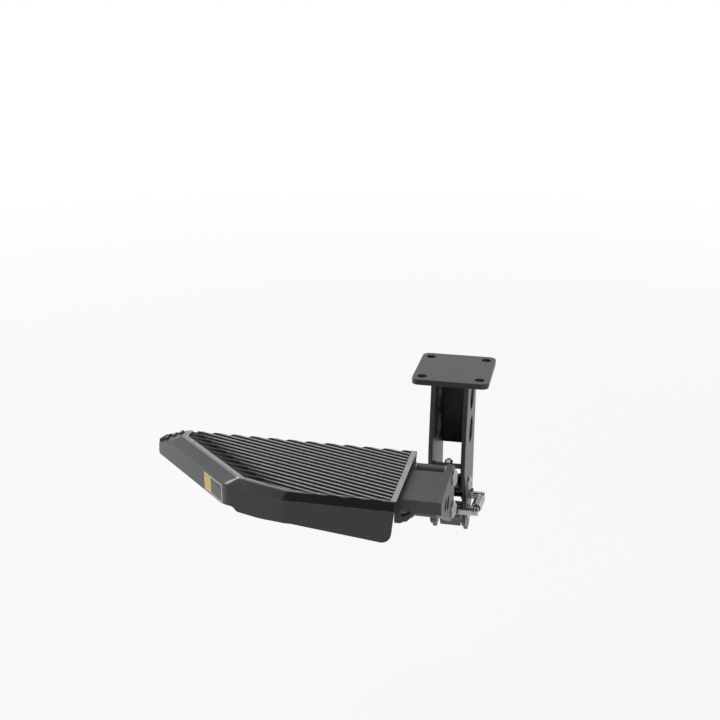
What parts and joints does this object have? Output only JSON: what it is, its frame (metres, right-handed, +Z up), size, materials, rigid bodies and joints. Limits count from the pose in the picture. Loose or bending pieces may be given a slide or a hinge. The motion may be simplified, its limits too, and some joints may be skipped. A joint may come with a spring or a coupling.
{
  "type": "retractable bed step",
  "caption": "Cast tread deck on a parallel-link hinge that swings down from its stowed place; bolts up under a pickup's rear end.",
  "frame": {"origin": "middle of the mounting flange's top face, between its four bolt holes", "axes": "+X along the deck's long side towards its hinge end, +Y forward under the vehicle and away from the user, +Z up"},
  "size_m": [0.417, 0.3892, 0.2503],
  "materials": {
    "deck_coat": "satin black powder coat",
    "yoke_coat": "satin black powder coat",
    "link_coat": "satin black powder coat",
    "bracket_coat": "textured black paint on steel plate",
    "black_screw": "black oxide",
    "pin_steel": "turned stainless steel",
    "zinc_plate": "zinc plated",
    "bush_bronze": "sintered bronze",
    "stop_rubber": "moulded black rubber",
    "spring_wire": "zinc plated spring wire"
  },
  "bodies": {
    "bracket": {"mount_bracket": "bracket_coat", "base_pin_lower": "pin_steel", "base_pin_upper": "pin_steel", "base_pin_nuts": "zinc_plate", "base_pin_washers": "zinc_plate", "stop_bolt": "pin_steel", "stop_sleeve": "stop_rubber", "stop_nut": "zinc_plate", "stow_bumper": "stop_rubber", "stow_bumper_nut": "zinc_plate", "bracket_spring_post": "pin_steel", "spring_post_nut": "zinc_plate"},
    "lower_arm": {"lower_link": "link_coat", "lower_link_bushes": "bush_bronze", "link_spring_post": "pin_steel"},
    "upper_arm": {"upper_link": "link_coat", "upper_link_bushes": "bush_bronze"},
    "spring": {"over_centre_spring": "spring_wire"},
    "deck": {"deck_casting": "deck_coat", "hinge_yoke": "yoke_coat", "yoke_bolts": "black_screw", "yoke_washers": "zinc_plate", "deck_pin_lower": "pin_steel", "deck_pin_upper": "pin_steel", "deck_pin_nuts": "zinc_plate", "deck_pin_washers": "zinc_plate"}
  },
  "joints": [
    {"name": "arm_swing", "type": "hinge", "parent": "bracket", "child": "lower_arm", "pos_m": [0, -0.008, -0.21428], "axis": [1, 0, 0], "range_deg": [0, 64]},
    {"name": "upper_arm_swing", "type": "hinge", "parent": "bracket", "child": "upper_arm", "pos_m": [0, -0.008, -0.17028], "axis": [1, 0, 0], "range_deg": [0, 64]},
    {"name": "deck_level", "type": "hinge", "parent": "lower_arm", "child": "deck", "pos_m": [0, -0.20225, -0.111], "axis": [1, 0, 0], "range_deg": [-64, 0]},
    {"name": "spring_turn", "type": "hinge", "parent": "bracket", "child": "spring", "pos_m": [0, 0.03789, -0.21107], "axis": [1, 0, 0], "range_deg": [0, 32], "deforming": ["over_centre_spring"]}
  ],
  "couplings": [
    {"joint": "upper_arm_swing", "follows": "arm_swing", "ratio": 1},
    {"joint": "deck_level", "follows": "arm_swing", "ratio": -1},
    {"joint": "spring_turn", "follows": "arm_swing", "ratio": 0.5}
  ]
}
